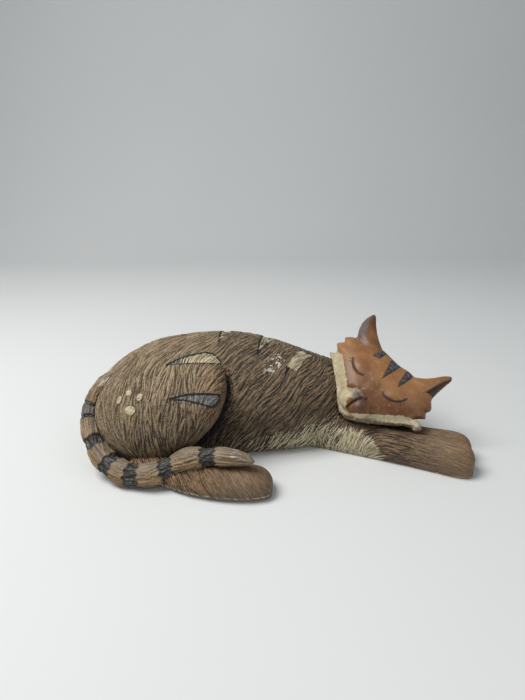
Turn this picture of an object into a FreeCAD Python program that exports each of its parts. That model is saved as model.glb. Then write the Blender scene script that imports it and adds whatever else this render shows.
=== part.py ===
import FreeCAD, Part
import math
import os

# Sleeping cat figurine: a hollow cast body with its legs, tail, head, ears and ruff cast apart
# and luted on. The figure lies along X, rump at -X and forepaws at +X, belly towards -Y, and
# rests on Z = 0. Sizes are millimetres.

# Body
TORSO_LENGTH = 217.0
TORSO_WIDTH = 86.0
TORSO_HEIGHT = 76.0
WALL = 5.0
BASE_WALL = 5.0
VENT_RADIUS = 4.0
SECTION_RISE = 0.40      # height of a cross-section's centre, as a share of its top
RING_POINTS = 12         # points that carry a rounded section

# Haunch, as thick as it stands out of the body
HAUNCH_LENGTH = 89.0
HAUNCH_HEIGHT = 73.0
HAUNCH_PROUD = 24.0
HAUNCH_BACK = -0.540     # share of the body's length
HAUNCH_FACE = -0.14      # share of the body's width

# Limbs
HIND_PAW_WIDTH = 26.0
HIND_PAW_HEIGHT = 16.5
HIND_PAW_LENGTH = 86.0
FORELEG_WIDTH = 20.0
FORELEG_HEIGHT = 20.5
FORELEG_LENGTH = 78.0
FAR_FORELEG_SHORTER = 3.0
FAR_FORELEG_LOWER = 1.5
FORELEG_PRESS = 6.0      # how far the two forelegs are pressed into each other
FORELEG_TURN = 25.0      # degrees from the body's axis towards the belly
TAIL_DIAMETER = 13.0

# Head, in its own frame: right, up and out of the face
HEAD_WIDTH = 77.0
HEAD_HEIGHT = 50.0
HEAD_DEPTH = 36.0
HEAD_WALL = 4.5
HEAD_ELEVATION = 49.1
HEAD_AZIMUTH = 7.1
HEAD_ROLL = 42.5
MUZZLE_RISE = 5.5
EAR_LENGTH = 27.0
RUFF_OVERHANG = 6.5
RUFF_DEPTH = 9.0
NECK_RADIUS = 9.0
NECK_CLEARANCE = 0.3
NECK_INSERTION = 9.0

# Paw mark on the haunch
PAW_MARK_SIZE = 18.0
PAW_MARK_RISE = 0.9

UP = FreeCAD.Vector(0, 0, 1)


def on_body(x, y, z):
    """A point given as shares of the body's three sizes."""
    return FreeCAD.Vector(x * TORSO_LENGTH, y * TORSO_WIDTH, z * TORSO_HEIGHT)


def closed_curve(points):
    """A smooth closed outline through the points."""
    curve = Part.BSplineCurve()
    curve.interpolate(Points=points, PeriodicFlag=True)
    return Part.Wire(curve.toShape())


def ellipse(centre, across, rise, half_width, half_height):
    """A closed ellipse that starts at its `across` end, so that a loft of them doesn't twist."""
    points = []
    for step in range(RING_POINTS):
        angle = 2 * math.pi * step / RING_POINTS
        sideways = across * (half_width * math.cos(angle))
        upwards = rise * (half_height * math.sin(angle))
        points.append(centre + sideways + upwards)
    return closed_curve(points)


def skinned(rings):
    """A closed solid through the rings in their order, with a flat face at each end."""
    faces = [Part.Face(rings[0]), Part.Face(rings[-1])]
    for first, second in zip(rings, rings[1:]):
        faces.append(Part.makeRuledSurface(first.Edges[0], second.Edges[0]))
    shell = Part.makeShell(faces)
    shell.sewShape()
    solid = Part.makeSolid(Part.Shell(shell.Faces))
    if solid.Volume < 0:
        solid.reverse()
    return solid


def rounded(stations):
    """The stations with one more between each pair, on a smooth curve through them."""
    result = [stations[0]]
    for number in range(1, len(stations)):
        ends = (max(number - 2, 0), number - 1, number, min(number + 1, len(stations) - 1))
        first, second, third, fourth = (stations[index] for index in ends)
        between = []
        for a, b, c, d in zip(first, second, third, fourth):
            between.append((9 * (b + c) - a - d) / 16)
        result.append(tuple(between))
        result.append(stations[number])
    return result


def resting_loft(stations, shrink=0.0):
    """A body that lies on the ground: rounded sections (x, y, half width, top) along its path.

    With `shrink` it is the cavity that leaves a wall of that thickness.
    """
    wires = []
    stations = rounded(stations)
    for number, (x, y, half_width, top) in enumerate(stations):
        before = stations[max(number - 1, 0)]
        after = stations[min(number + 1, len(stations) - 1)]
        along = FreeCAD.Vector(after[0] - before[0], after[1] - before[1], 0).normalize()
        across = UP.cross(along)
        centre = FreeCAD.Vector(x, y, SECTION_RISE * top)
        half_height = (1 - SECTION_RISE) * top
        wires.append(ellipse(centre, across, UP, half_width - shrink, half_height - shrink))
    return skinned(wires)


def above(height):
    """Everything higher than a level, as a block larger than the figure."""
    reach = 2 * TORSO_LENGTH
    return Part.makeBox(2 * reach, 2 * reach, reach, FreeCAD.Vector(-reach, -reach, height))


def torso_stations():
    shares = [
        (-0.560, 0.15, 0.13, 0.38),
        (-0.541, 0.15, 0.36, 0.57),
        (-0.509, 0.16, 0.60, 0.71),
        (-0.440, 0.18, 0.84, 0.85),
        (-0.347, 0.22, 0.97, 0.96),
        (-0.231, 0.26, 1.00, 1.00),
        (-0.116, 0.29, 0.98, 1.00),
        (-0.023, 0.30, 0.94, 0.95),
        (0.069, 0.31, 0.86, 0.865),
        (0.162, 0.35, 0.74, 0.75),
        (0.217, 0.37, 0.66, 0.68),
        (0.276, 0.355, 0.58, 0.58),
        (0.332, 0.32, 0.49, 0.46),
        (0.382, 0.28, 0.35, 0.34),
        (0.410, 0.26, 0.17, 0.25),
    ]
    stations = []
    for x, y, width, top in shares:
        half_width = width * TORSO_WIDTH / 2
        stations.append((x * TORSO_LENGTH, y * TORSO_WIDTH, half_width, top * TORSO_HEIGHT))
    return stations


def make_torso():
    """The hollow body with its open vent hole in the flat base."""
    stations = torso_stations()
    outside = resting_loft(stations).common(above(0))
    cavity = resting_loft(stations[2:-3], WALL).common(above(BASE_WALL))
    vent_centre = on_body(-0.15, 0.25, 0)
    vent = Part.makeCylinder(VENT_RADIUS, 3 * BASE_WALL, vent_centre - UP * BASE_WALL)
    return outside.cut(cavity).cut(vent)


def haunch_level(face_y, left, right, bottom, top):
    """One upright outline of the thigh: square at the upper front, slanting back below."""
    shares = [
        (1.00, 0.78), (0.97, 0.62), (0.88, 0.43), (0.74, 0.24), (0.52, 0.07), (0.28, 0.00),
        (0.08, 0.14), (0.00, 0.40), (0.05, 0.68), (0.24, 0.90), (0.52, 0.99), (0.82, 1.00),
        (0.96, 0.93),
    ]
    points = []
    for across, up in shares:
        x = left + across * (right - left)
        z = bottom + up * (top - bottom)
        points.append(FreeCAD.Vector(x, face_y, z))
    return closed_curve(points)


def make_haunch():
    """The near thigh, a pillow that stands out of the body and rolls over a lip at its front."""
    back = HAUNCH_BACK * TORSO_LENGTH
    front = back + HAUNCH_LENGTH
    root_y = HAUNCH_FACE * TORSO_WIDTH
    levels = [
        (1.00, 0.00, 0.00, 0.02, 1.00),
        (0.00, 0.02, 0.00, 0.02, 0.92),
        (-0.42, 0.09, 0.02, 0.04, 0.83),
        (-0.74, 0.20, 0.09, 0.11, 0.74),
        (-0.92, 0.34, 0.18, 0.24, 0.64),
        (-1.00, 0.47, 0.30, 0.37, 0.55),
    ]
    wires = []
    for depth, from_back, from_front, bottom, top in rounded(levels):
        left = back + from_back * HAUNCH_LENGTH
        right = front - from_front * HAUNCH_LENGTH
        y = root_y + depth * HAUNCH_PROUD
        wires.append(haunch_level(y, left, right, bottom * HAUNCH_HEIGHT, top * HAUNCH_HEIGHT))
    return skinned(wires).common(above(0))


def make_hind_paw():
    """The long hind foot that lies under the tail, toes towards the belly's front."""
    heel = on_body(-0.395, -0.30, 0)
    shares = [
        (0.00, 0.00, 0.85, 0.85),
        (0.27, 0.13, 0.88, 0.86),
        (0.45, 0.22, 0.95, 0.93),
        (0.67, 0.275, 1.00, 0.98),
        (0.84, 0.285, 1.00, 1.00),
        (0.94, 0.28, 0.86, 0.88),
        (0.985, 0.275, 0.58, 0.66),
        (1.00, 0.275, 0.30, 0.42),
    ]
    stations = []
    for along, sideways, width, height in shares:
        x = heel.x + along * HIND_PAW_LENGTH
        y = heel.y - sideways * HIND_PAW_LENGTH
        stations.append((x, y, width * HIND_PAW_WIDTH / 2, height * HIND_PAW_HEIGHT))
    return resting_loft(stations).common(above(0))


def make_foreleg(row):
    """One outstretched foreleg; row 0 is the near leg and row 1 lies beside it."""
    turn = math.radians(FORELEG_TURN)
    along = FreeCAD.Vector(math.cos(turn), -math.sin(turn), 0)
    beside = FreeCAD.Vector(math.sin(turn), math.cos(turn), 0)
    elbow = on_body(0.262, -0.02, 0) + beside * (row * (FORELEG_WIDTH - FORELEG_PRESS))
    length = FORELEG_LENGTH - row * FAR_FORELEG_SHORTER
    shares = [
        (-0.66, 1.20, 1.25),
        (-0.36, 1.15, 1.20),
        (0.00, 1.00, 1.05),
        (0.35, 0.98, 0.98),
        (0.62, 1.00, 0.98),
        (0.82, 1.10, 1.02),
        (0.93, 1.02, 0.93),
        (0.98, 0.74, 0.72),
        (1.00, 0.40, 0.50),
    ]
    stations = []
    for share, width, height in shares:
        place = elbow + along * (share * length)
        top = height * (FORELEG_HEIGHT - row * FAR_FORELEG_LOWER)
        stations.append((place.x, place.y, width * FORELEG_WIDTH / 2, top))
    return resting_loft(stations).common(above(0))


def make_tail():
    """The tail: it leaves the rump's top, wraps round its back and lies over the hind foot."""
    path = [
        (on_body(-0.440, 0.05, 0.75), 0.85),
        (on_body(-0.502, -0.01, 0.67), 0.90),
        (on_body(-0.540, -0.08, 0.50), 0.93),
        (on_body(-0.537, -0.20, 0.33), 1.00),
        (on_body(-0.493, -0.35, 0.17), 1.08),
        (on_body(-0.420, -0.475, 0.10), 1.12),
        (on_body(-0.343, -0.52, 0.12), 1.06),
        (on_body(-0.258, -0.495, 0.20), 0.95),
        (on_body(-0.170, -0.525, 0.285), 0.88),
        (on_body(-0.100, -0.575, 0.305), 0.82),
        (on_body(-0.064, -0.610, 0.305), 0.70),
        (on_body(-0.050, -0.630, 0.305), 0.34),
    ]
    wires = []
    stations = rounded([(*place, share * TAIL_DIAMETER / 2) for place, share in path])
    places = [FreeCAD.Vector(*station[:3]) for station in stations]
    for number, place in enumerate(places):
        before = places[max(number - 1, 0)]
        after = places[min(number + 1, len(places) - 1)]
        along = (after - before).normalize()
        across = UP.cross(along).normalize()
        rise = along.cross(across)
        radius = stations[number][3]
        wires.append(ellipse(place, across, rise, radius, radius))
    return skinned(wires).common(above(0))


def head_axes():
    """The head's right, up and outward directions."""
    elevation = math.radians(HEAD_ELEVATION)
    azimuth = math.radians(HEAD_AZIMUTH)
    roll = math.radians(HEAD_ROLL)
    level = FreeCAD.Vector(math.cos(azimuth), -math.sin(azimuth), 0)
    facing = FreeCAD.Vector(-math.sin(azimuth), -math.cos(azimuth), 0)
    outward = facing * math.cos(elevation) + UP * math.sin(elevation)
    steep = outward.cross(level)
    right = level * math.cos(roll) - steep * math.sin(roll)
    up = steep * math.cos(roll) + level * math.sin(roll)
    return right, up, outward


def head_point(right, up, outward):
    """A point in the head's own frame, whose origin lies between the eyes."""
    axes = head_axes()
    centre = on_body(0.318, 0.022, 0.607)
    return centre + axes[0] * right + axes[1] * up + axes[2] * outward


def shield(width, height, level, scale):
    """The face's outline: flat crown, wide cheeks and a pointed chin."""
    shares = [
        (0.00, -0.54), (0.10, -0.46), (0.26, -0.27), (0.43, -0.02), (0.485, 0.20),
        (0.44, 0.40), (0.30, 0.485), (0.00, 0.48),
    ]
    both = shares + [(-x, y) for x, y in reversed(shares[1:-1])]
    middle = -0.05 * height
    points = []
    for x, y in both:
        across = x * width * scale
        rise = middle + (y * height - middle) * scale
        points.append(head_point(across, rise, level))
    return closed_curve(points)


def skull(shrink):
    """The head's loft from the face back to the neck, or the cavity inside its wall."""
    levels = [
        (0.10, 0.42), (0.03, 0.72), (-0.10, 0.93), (-0.24, 1.00), (-0.42, 0.93),
        (-0.66, 0.72), (-0.90, 0.42),
    ]
    width = HEAD_WIDTH - 2 * shrink
    height = HEAD_HEIGHT - 2 * shrink
    depth = HEAD_DEPTH - shrink
    wires = []
    for level, scale in rounded(levels):
        wires.append(shield(width, height, level * depth - shrink / 2, scale))
    return skinned(wires)


def ball(centre, across, rise, half_sizes):
    """An ellipsoid with its own axes."""
    outward = across.cross(rise)
    matrix = FreeCAD.Matrix(
        across.x * half_sizes[0], rise.x * half_sizes[1], outward.x * half_sizes[2], centre.x,
        across.y * half_sizes[0], rise.y * half_sizes[1], outward.y * half_sizes[2], centre.y,
        across.z * half_sizes[0], rise.z * half_sizes[1], outward.z * half_sizes[2], centre.z,
        0, 0, 0, 1)
    return Part.makeSphere(1.0).transformGeometry(matrix)


def neck(radius):
    """The round neck between the shoulders and the head."""
    outward = head_axes()[2]
    start = head_point(-6, 0, -0.95 * HEAD_DEPTH)
    return Part.makeCylinder(radius, NECK_INSERTION, start, outward)


def make_head():
    """The hollow head with its muzzle and the round neck socket in its back."""
    right, up, outward = head_axes()
    head = skull(0)
    pad = (0.115 * HEAD_WIDTH, 0.19 * HEAD_HEIGHT, MUZZLE_RISE)
    for side in (-1, 1):
        centre = head_point(side * 0.052 * HEAD_WIDTH, -0.33 * HEAD_HEIGHT, 0)
        head = head.fuse(ball(centre, right, up, pad))
    return head.cut(skull(HEAD_WALL))


def make_ear(side):
    """One ear, a horn that curves outwards; side -1 is the upper ear and 1 the lower one."""
    right, up, outward = head_axes()
    root_x = side * 0.30 * HEAD_WIDTH
    root_y = 0.36 * HEAD_HEIGHT
    shares = [
        (0.00, 0.00, 0.42, 0.30),
        (0.13, 0.22, 0.34, 0.25),
        (0.26, 0.45, 0.24, 0.19),
        (0.37, 0.68, 0.155, 0.14),
        (0.46, 0.88, 0.085, 0.09),
        (0.49, 0.98, 0.035, 0.04),
    ]
    wires = []
    for out, rise, half_width, half_depth in rounded(shares):
        across = root_x + side * out * EAR_LENGTH
        centre = head_point(across, root_y + rise * EAR_LENGTH, -0.17 * HEAD_DEPTH)
        wires.append(ellipse(centre, right, outward, half_width * EAR_LENGTH,
                             half_depth * EAR_LENGTH))
    return skinned(wires)


def make_ruff():
    """The cream ruff, a V-shaped band that stands out under the cheeks and chin."""
    half = HEAD_WIDTH / 2
    chin = -0.5 * HEAD_HEIGHT - RUFF_OVERHANG
    outline = [
        (half + 0.3 * RUFF_OVERHANG, -0.02 * HEAD_HEIGHT),
        (0.53 * half, 0.60 * chin),
        (0.20 * half, 0.87 * chin),
        (0.00, chin),
        (-0.20 * half, 0.87 * chin),
        (-0.53 * half, 0.60 * chin),
        (-half - 0.3 * RUFF_OVERHANG, -0.02 * HEAD_HEIGHT),
        (-0.80 * half, 0.10 * HEAD_HEIGHT),
        (0.00, -0.15 * HEAD_HEIGHT),
        (0.80 * half, 0.10 * HEAD_HEIGHT),
    ]
    wires = []
    for level, scale in ((0.0, 0.94), (-0.35, 1.0), (-1.0, 0.93)):
        depth = -0.13 * HEAD_DEPTH + level * RUFF_DEPTH
        wires.append(closed_curve([head_point(x * scale, y * scale, depth) for x, y in outline]))
    return skinned(wires)


def make_paw_mark(haunch):
    """Four raised dots of thick slip on the thigh: three toes and a pad."""
    middle = on_body(-0.394, 0, 0.685)
    marks = [
        (-0.13, 0.12, 0.12, 0.12),
        (-0.46, -0.11, 0.10, 0.15),
        (0.285, 0.06, 0.11, 0.14),
        (-0.03, -0.34, 0.20, 0.165),
    ]
    dots = []
    for across, up, half_width, half_height in marks:
        x = middle.x + across * PAW_MARK_SIZE
        z = middle.z + up * PAW_MARK_SIZE
        probe = Part.Vertex(x, -1.5 * TORSO_WIDTH, z)
        ray = Part.LineSegment(probe.Point, FreeCAD.Vector(x, 0, z)).toShape()
        surface = probe.distToShape(haunch.common(ray))[1][0][1]
        outside = Part.Vertex(surface - FreeCAD.Vector(0, 1, 0))
        reach = haunch.distToShape(outside)[1][0]
        outward = (reach[1] - reach[0]).normalize()
        sideways = UP.cross(outward).normalize()
        rise = outward.cross(sideways)
        sizes = (half_width * PAW_MARK_SIZE, half_height * PAW_MARK_SIZE, PAW_MARK_RISE)
        dots.append(ball(surface, sideways, rise, sizes))
    return Part.makeCompound(dots)


def solids_of(shape, least=1.0):
    """The solids of a cut shape, without slivers under `least` cubic millimetres."""
    solids = [solid for solid in shape.Solids if solid.Volume > least]
    return Part.makeCompound(solids) if len(solids) > 1 else solids[0]


def build():
    """Every piece, each fitted face to face against the ones it is luted to."""
    torso = make_torso()
    body = resting_loft(torso_stations()).common(above(0))
    haunch = make_haunch().cut(body)
    hind_paw = make_hind_paw().cut(body).cut(haunch)
    near_foreleg = make_foreleg(0).cut(body)
    far_foreleg = make_foreleg(1).cut(make_foreleg(0)).cut(body)
    tail = make_tail().cut(body).cut(haunch).cut(hind_paw)
    outer_head = skull(0)
    head = make_head().cut(body).cut(near_foreleg).cut(far_foreleg)
    head = head.cut(neck(NECK_RADIUS + NECK_CLEARANCE))
    torso = torso.fuse(neck(NECK_RADIUS))
    upper_ear = make_ear(-1).cut(outer_head)
    lower_ear = make_ear(1).cut(outer_head)
    ruff = make_ruff().cut(outer_head).cut(head).cut(body).cut(near_foreleg).cut(far_foreleg)
    paw_mark = make_paw_mark(haunch).cut(haunch)
    return {
        "torso_shell": torso,
        "near_haunch": haunch,
        "hind_paw": hind_paw,
        "near_foreleg": near_foreleg,
        "far_foreleg": far_foreleg,
        "tail": tail,
        "head_shell": head,
        "upper_ear": upper_ear,
        "lower_ear": lower_ear,
        "cheek_ruff": ruff,
        "paw_mark_dots": paw_mark,
    }


def place_on_origin(pieces):
    """Puts the origin under the middle of the figure, on the surface it rests on."""
    box = Part.makeCompound(list(pieces.values())).optimalBoundingBox(False)
    middle = box.Center
    for piece in pieces.values():
        piece.translate(FreeCAD.Vector(-middle.x, -middle.y, -box.ZMin))
    return box


os.makedirs("parts", exist_ok=True)
pieces = {name: solids_of(shape) for name, shape in build().items()}
box = place_on_origin(pieces)
for name, shape in pieces.items():
    shape.exportStep(os.path.join("parts", name + ".step"))
    print(f"{name:14s} {len(shape.Solids)} solid(s) {shape.Volume / 1000:8.2f} cm3")
print(f"overall {box.XLength:.1f} x {box.YLength:.1f} x {box.ZLength:.1f} mm")
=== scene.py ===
# %% [markdown]
# # A sleeping cat in painted ceramic
# The real thing is a hollow cast figurine. Its maker combed the coat into the clay with a small
# gouge, washed dark paint into the grooves and wiped the ridges pale, and painted the stripes
# last. This lesson starts from its measured solids and gives each one that hand-worked skin.

# %% Load the frame
import math
import bmesh
import bpy
import numpy as np
from mathutils import Matrix, Vector
from mathutils.bvhtree import BVHTree


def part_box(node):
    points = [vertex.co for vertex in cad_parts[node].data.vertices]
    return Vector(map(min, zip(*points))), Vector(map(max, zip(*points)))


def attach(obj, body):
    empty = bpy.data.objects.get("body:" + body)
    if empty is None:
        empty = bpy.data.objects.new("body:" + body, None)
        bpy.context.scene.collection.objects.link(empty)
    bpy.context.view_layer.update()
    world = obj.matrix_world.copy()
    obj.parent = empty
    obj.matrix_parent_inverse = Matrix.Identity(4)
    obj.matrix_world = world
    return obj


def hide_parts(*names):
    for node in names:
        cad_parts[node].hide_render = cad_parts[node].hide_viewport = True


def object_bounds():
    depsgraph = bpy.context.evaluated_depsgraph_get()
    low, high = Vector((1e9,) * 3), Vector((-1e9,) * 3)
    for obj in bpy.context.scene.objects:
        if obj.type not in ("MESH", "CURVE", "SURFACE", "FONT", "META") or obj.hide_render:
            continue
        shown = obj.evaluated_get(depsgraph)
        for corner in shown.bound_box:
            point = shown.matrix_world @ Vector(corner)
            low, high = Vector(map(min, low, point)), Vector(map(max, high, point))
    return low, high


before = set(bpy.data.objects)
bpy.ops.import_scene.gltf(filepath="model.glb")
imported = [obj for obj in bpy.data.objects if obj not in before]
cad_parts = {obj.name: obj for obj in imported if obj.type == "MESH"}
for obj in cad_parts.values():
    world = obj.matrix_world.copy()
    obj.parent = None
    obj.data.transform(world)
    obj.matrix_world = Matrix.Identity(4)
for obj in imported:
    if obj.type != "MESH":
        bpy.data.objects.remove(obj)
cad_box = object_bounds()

print("cad box", [round(x, 4) for corner in cad_box for x in corner])

# %% [markdown]
# ## The room, the light and the eye
# A figurine this small is looked at from close by and a little above, which makes the near paws
# loom. The eye is placed as steps away from the middle of the object's own box. A pale sheet
# that curves up behind it stands for a studio table, and one broad lamp at the upper
# left, a weaker one at the right and an even sky give soft shadows.

# %% The eye
middle = (cad_box[0] + cad_box[1]) / 2
middle.z = cad_box[0].z
STEPS_TO_EYE = Vector((-0.0092, -0.3218, 0.190))
LENS_LENGTH = 27.05
LOOKING_DOWN, LEANING = math.radians(69.9), math.radians(-0.65)
EYE = middle + STEPS_TO_EYE
eye_data = bpy.data.cameras.new("eye")
eye_data.lens = LENS_LENGTH
eye_data.sensor_width = 36.0
eye = bpy.data.objects.new("eye", eye_data)
turned = Matrix.Rotation(LOOKING_DOWN, 4, "X") @ Matrix.Rotation(LEANING, 4, "Z")
eye.matrix_world = Matrix.Translation(EYE) @ turned
bpy.context.scene.collection.objects.link(eye)
bpy.context.scene.camera = eye
bpy.context.scene.view_settings.view_transform = "Standard"

# %% The light
LAMPS = {
    "window": ((-0.50, -0.12, 0.90), 0.55, 10.0, (1.0, 0.985, 0.96)),
    "far_wall": ((0.60, -0.60, 0.70), 0.80, 1.3, (0.95, 0.97, 1.0)),
}
for name, (place, size, power, tint) in LAMPS.items():
    lamp_data = bpy.data.lights.new(name, "AREA")
    lamp_data.size, lamp_data.energy, lamp_data.color = size, power, tint
    lamp = bpy.data.objects.new(name, lamp_data)
    lamp.location = place
    lamp.rotation_euler = (-Vector(place)).to_track_quat("-Z", "Y").to_euler()
    bpy.context.scene.collection.objects.link(lamp)
sky = bpy.data.worlds.new("sky")
sky.use_nodes = True
sky.node_tree.nodes["Background"].inputs["Color"].default_value = (0.86, 0.90, 0.93, 1)
sky.node_tree.nodes["Background"].inputs["Strength"].default_value = 0.30
bpy.context.scene.world = sky
print("lamps", list(LAMPS))

# %% [markdown]
# ## Small tools for wiring a finish
# A finish is a chain of nodes. These helpers add one node at a time and join its inputs, so
# that a recipe reads from top to bottom. The same noise, sums and spreads exist in both the
# shader and the geometry editors, so one recipe can carve the clay and colour it as well.

# %% Wiring
def add(tree, kind, inputs=None, output=0, **settings):
    """One node with its inputs joined or set; gives the chosen output."""
    node = tree.nodes.new(kind)
    for name, value in settings.items():
        setattr(node, name, value)
    for name, value in (inputs or {}).items():
        if isinstance(value, bpy.types.NodeSocket):
            tree.links.new(value, node.inputs[name])
        else:
            node.inputs[name].default_value = value
    return node.outputs[output]


def reckon(tree, operation, first, second, **more):
    """Two numbers joined by an operation."""
    return add(tree, "ShaderNodeMath", {0: first, 1: second}, operation=operation, **more)


def plus(tree, first, second, **more):
    """Two numbers added."""
    return reckon(tree, "ADD", first, second, **more)


def minus(tree, first, second):
    """One number less another."""
    return reckon(tree, "SUBTRACT", first, second)


def times(tree, first, second):
    """Two numbers multiplied."""
    return reckon(tree, "MULTIPLY", first, second)


def mixed(tree, first, share, second, other_share):
    """Two numbers added, each by its share."""
    return plus(tree, times(tree, first, share), times(tree, second, other_share))


def spread(tree, value, low, high, start=0.0, end=1.0):
    """A number stretched from low..high to start..end and held there."""
    return add(tree, "ShaderNodeMapRange", {0: value, 1: low, 2: high, 3: start, 4: end})


def blend(tree, share, wash_and_shade, over):
    """One colour laid over another, share of it."""
    return add(tree, "ShaderNodeMix", {0: share, 6: wash_and_shade, 7: over}, output=2, data_type="RGBA")


def speckle(tree, place, scale, detail=2.0):
    """Plain noise, with spots 1/scale metres wide."""
    return add(tree, "ShaderNodeTexNoise", {"Vector": place, "Scale": scale, "Detail": detail})


def combed(tree, place, lay, scale, reach, taps, low, high):
    """Noise smeared along the lay of the coat, which leaves strokes reach metres long."""
    total = None
    for tap in range(taps):
        shift = reach * (tap / (taps - 1) - 0.5)
        there = add(tree, "ShaderNodeVectorMath", {0: lay, 1: (shift,) * 3, 2: place},
                    operation="MULTIPLY_ADD")
        grain = speckle(tree, there, scale, 0.0)
        total = grain if total is None else plus(tree, total, grain)
    return spread(tree, total, low * taps, high * taps)


# %% The table
def new_finish(name):
    """An empty material with its tree, ready for a recipe."""
    finish = bpy.data.materials.new(name)
    finish.use_nodes = True
    return finish, finish.node_tree, finish.node_tree.nodes["Principled BSDF"]


def paper_finish():
    """Pale card with a faint tooth."""
    finish, tree, skin = new_finish("pale_card")
    place = add(tree, "ShaderNodeTexCoord", output=3)
    tone = blend(tree, speckle(tree, place, 3.0), (0.68, 0.70, 0.70, 1), (0.73, 0.745, 0.745, 1))
    tree.links.new(tone, skin.inputs["Base Color"])
    skin.inputs["Roughness"].default_value = 0.85
    return finish


SHEET_WIDTH, SHEET_FRONT = 5.0, -1.6
SHEET_RUN, SHEET_BEND, SHEET_RISE = 2.3, 0.4, 2.0


def of_kind(things, kind):
    """The points or the edges among what an operator made."""
    return [thing for thing in things if isinstance(thing, kind)]


def extended(sheet, edges, step):
    """Draws a sheet's edge out by one step, and gives the new edge."""
    made = bmesh.ops.extrude_edge_only(sheet, edges=edges)["geom"]
    bmesh.ops.translate(sheet, verts=of_kind(made, bmesh.types.BMVert), vec=step)
    return of_kind(made, bmesh.types.BMEdge)


sheet = bmesh.new()
ends = [sheet.verts.new((side * SHEET_WIDTH / 2, SHEET_FRONT, 0)) for side in (-1, 1)]
edge = extended(sheet, [sheet.edges.new(ends)], (0, SHEET_RUN, 0))
made = bmesh.ops.spin(sheet, geom=edge, cent=(0, SHEET_FRONT + SHEET_RUN, SHEET_BEND),
                      axis=(1, 0, 0), angle=math.radians(90), steps=24)["geom_last"]
extended(sheet, of_kind(made, bmesh.types.BMEdge), (0, 0, SHEET_RISE))
backdrop_mesh = bpy.data.meshes.new("backdrop")
sheet.to_mesh(backdrop_mesh)
sheet.free()
backdrop_mesh.shade_smooth()
backdrop_mesh.materials.append(paper_finish())
backdrop = bpy.data.objects.new("backdrop", backdrop_mesh)
bpy.context.scene.collection.objects.link(backdrop)
print("backdrop faces", len(backdrop_mesh.polygons))

# %% [markdown]
# ## Recasting the clay
# The measured solids are cut face to face, like the parts of a mould. Slip fills such a mould as
# one even skin, and a voxel remesh does the same: it gives small even squares that can be carved
# point by point. Moving points with a list of numbers for the whole mesh at once is quick, and
# relaxing them towards their neighbours is what a wet sponge does.

# %% Casting and sponging
COARSE = 1.0


def at(node, x, y, z):
    """A point given as shares of a solid's box."""
    low, high = (np.array(corner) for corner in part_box(node))
    return low + (high - low) * (x, y, z)


def numbers(data, name, width=3):
    """One property of every point or edge as an array."""
    flat = np.empty(len(data) * width, float if width == 3 else int)
    data.foreach_get(name, flat)
    return flat.reshape(-1, width)


def points_of(mesh):
    """Where a mesh's points are."""
    return numbers(mesh.vertices, "co")


def normals_of(mesh):
    """The outward arrow at each of a mesh's points."""
    return numbers(mesh.vertex_normals, "vector")


def show(mesh, name):
    """An object for a mesh, in the scene."""
    model = bpy.data.objects.new(name, mesh)
    bpy.context.scene.collection.objects.link(model)
    return model


def baked(model):
    """Turns the modifiers' result into the object's own mesh."""
    bpy.context.view_layer.update()
    seen = model.evaluated_get(bpy.context.evaluated_depsgraph_get())
    done = bpy.data.meshes.new_from_object(seen)
    model.modifiers.clear()
    model.data = done
    done.name = model.name
    return model


def clay_of(*nodes):
    """The measured solids as one lump, with their loose triangles joined."""
    clay = bmesh.new()
    for node in nodes:
        part = bmesh.new()
        part.from_mesh(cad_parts[node].data)
        bmesh.ops.remove_doubles(part, verts=part.verts, dist=1e-6)
        loose = bpy.data.meshes.new("loose")
        part.to_mesh(loose)
        part.free()
        clay.from_mesh(loose)
        bpy.data.meshes.remove(loose)
    return clay


def plug(clay, start, end, radius):
    """A round plug from start to end, which stops a hole."""
    axis = Vector(end) - Vector(start)
    turn = axis.to_track_quat("Z", "Y").to_matrix().to_4x4()
    place = Matrix.Translation((Vector(start) + Vector(end)) / 2) @ turn
    bmesh.ops.create_cone(clay, cap_ends=True, segments=48, radius1=radius, radius2=radius,
                          depth=axis.length, matrix=place)


def outer_skin(mesh):
    """Drops every closed surface inside the largest one, such as the wall of a hollow."""
    cast = bmesh.new()
    cast.from_mesh(mesh)
    cast.verts.ensure_lookup_table()
    left = [True] * len(cast.verts)
    islands = []
    for seed in cast.verts:
        if not left[seed.index]:
            continue
        left[seed.index] = False
        island, front = [seed], [seed]
        while front:
            for edge in front.pop().link_edges:
                for vert in edge.verts:
                    if left[vert.index]:
                        left[vert.index] = False
                        island.append(vert)
                        front.append(vert)
        islands.append(island)
    def span(island):
        return max(v.co.x for v in island) - min(v.co.x for v in island)
    largest = max(islands, key=span)
    spare = [v for island in islands if island is not largest for v in island]
    bmesh.ops.delete(cast, geom=spare, context="VERTS")
    cast.to_mesh(mesh)
    cast.free()


def recast(clay, name, grain, hollow=False):
    """Casts a lump as one even skin of squares grain metres wide, without its inner wall."""
    rough = bpy.data.meshes.new(name)
    clay.to_mesh(rough)
    clay.free()
    model = show(rough, name)
    remesh = model.modifiers.new("cast", "REMESH")
    remesh.mode = "VOXEL"
    remesh.voxel_size = grain * COARSE
    baked(model)
    if hollow:
        outer_skin(model.data)
    return model


def sponged(mesh, points, rounds, share=0.5, swell=0.52):
    """Evens the points out with their neighbours, and swells them back so they don't shrink."""
    ends = numbers(mesh.edges, "vertices", 2)
    count = np.bincount(ends.ravel(), minlength=len(points))[:, None]
    for step in range(2 * rounds):
        total = np.stack([np.bincount(ends[:, 0], points[ends[:, 1], axis], len(points))
                          + np.bincount(ends[:, 1], points[ends[:, 0], axis], len(points))
                          for axis in range(3)], 1)
        points = points + (share if step % 2 == 0 else -swell) * (total / count - points)
    return points


def rising(value, low, high):
    """0 below low, 1 above high and a soft slope between."""
    share = np.clip((value - low) / (high - low), 0, 1)
    return share * share * (3 - 2 * share)


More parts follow.
